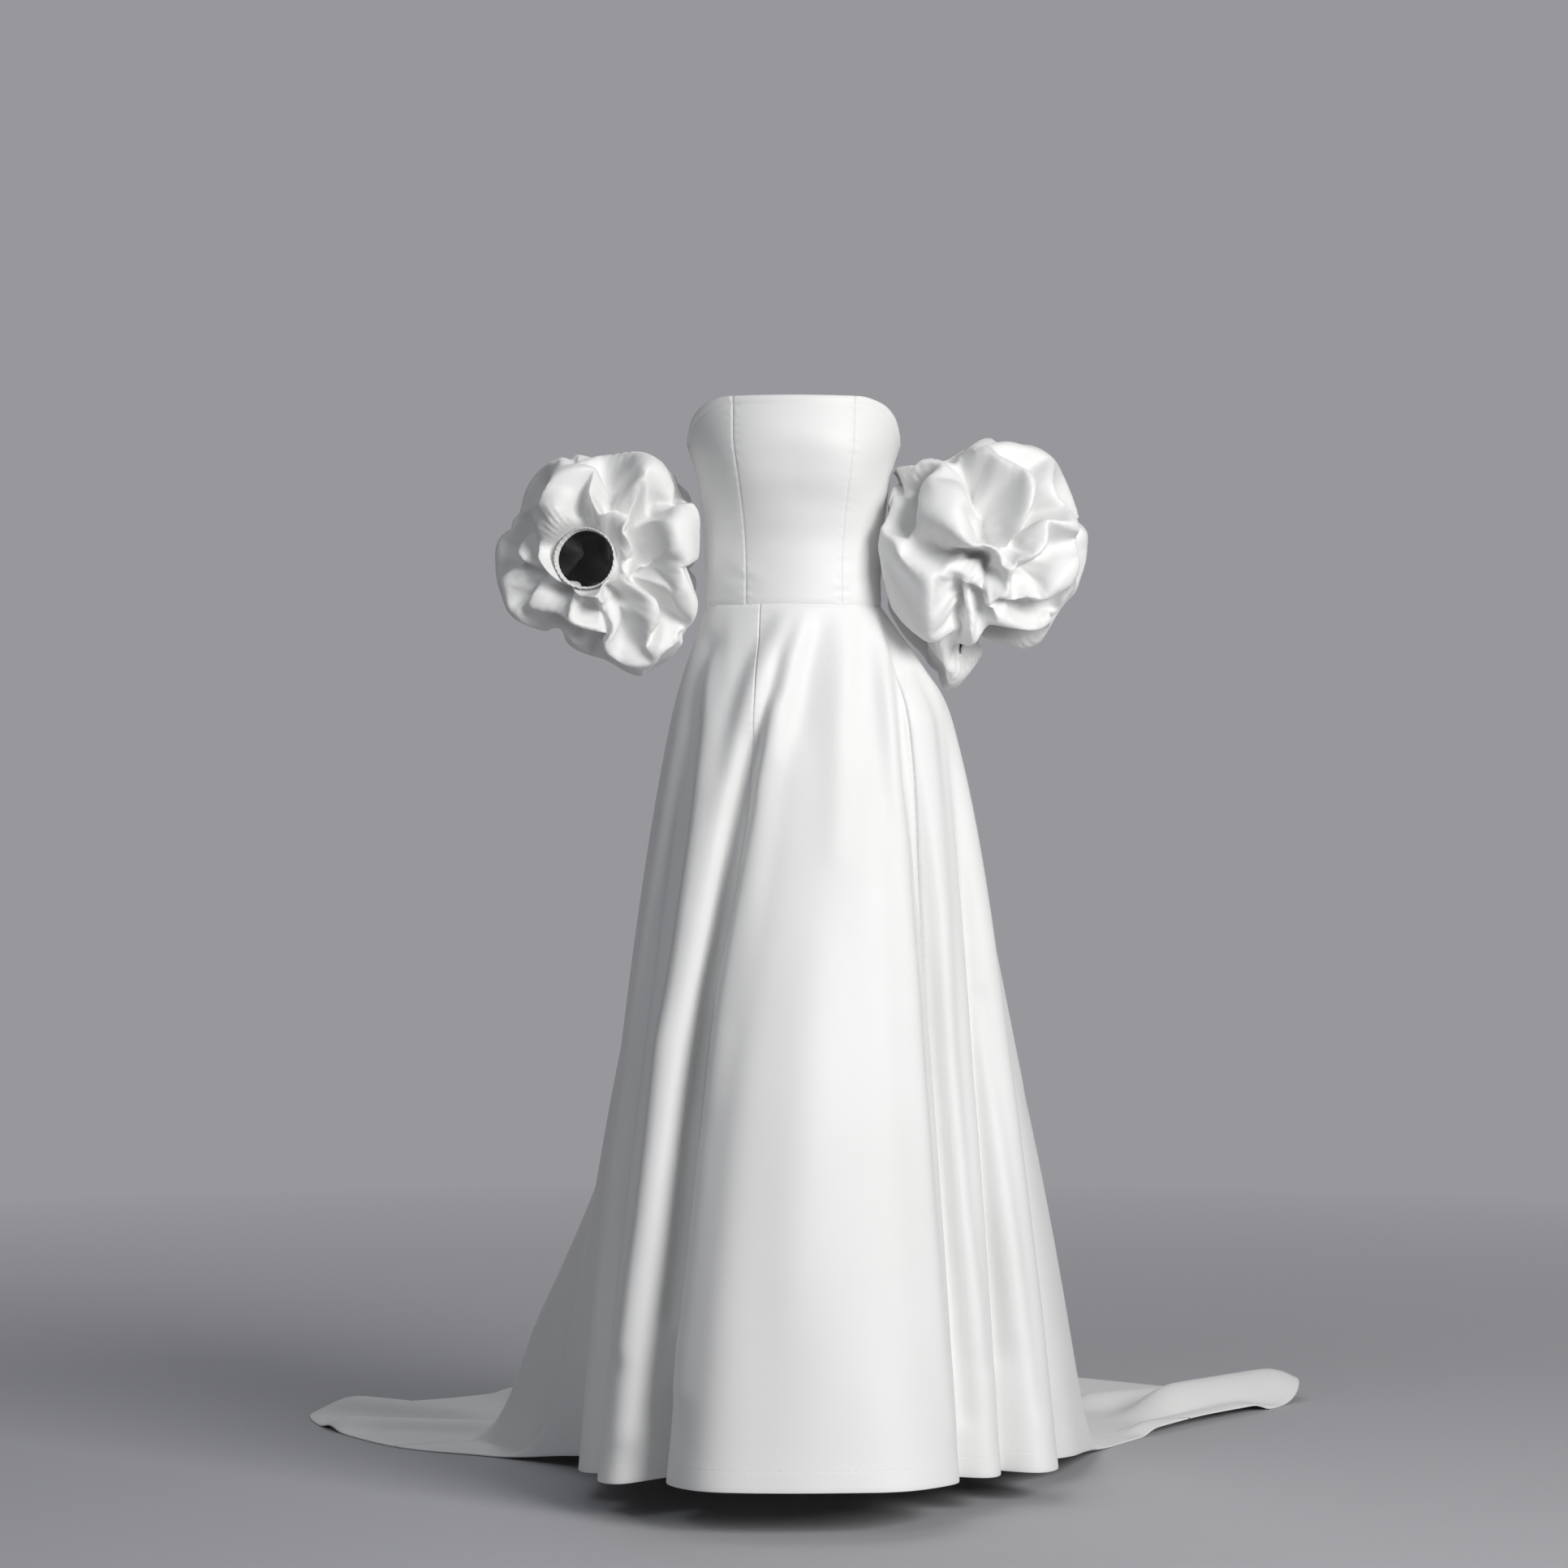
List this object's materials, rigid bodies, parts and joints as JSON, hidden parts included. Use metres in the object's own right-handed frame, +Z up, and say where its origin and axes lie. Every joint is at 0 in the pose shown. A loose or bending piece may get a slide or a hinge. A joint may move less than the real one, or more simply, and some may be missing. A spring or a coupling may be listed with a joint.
{
  "type": "wedding dress",
  "caption": "Strapless satin wedding dress with a seamed bodice, a folded A-line skirt with a train, and puff sleeves worn off the shoulder.",
  "frame": {"origin": "middle of the waist ring, where the wearer holds the dress up", "axes": "+Z up along the wearer's body, front of the dress towards -Y, train behind along +Y, wearer's left towards +X"},
  "size_m": [1.408, 1.5698, 1.355],
  "materials": {
    "satin": "heavy white satin, soft sheen, smooth weave",
    "zip_tape": "white concealed zip tape, matt"
  },
  "bodies": {
    "root": {"bodice_front": "satin", "bodice_side_front_right": "satin", "bodice_side_front_left": "satin", "bodice_side_back_right": "satin", "bodice_side_back_left": "satin", "bodice_back_right": "satin", "bodice_back_left": "satin", "back_zip": "zip_tape", "skirt_front": "satin", "skirt_side_right": "satin", "skirt_side_left": "satin", "skirt_side_back_right": "satin", "skirt_side_back_left": "satin", "skirt_back_right": "satin", "skirt_back_left": "satin", "sleeve_right": "satin", "sleeve_left": "satin"}
  },
  "joints": []
}
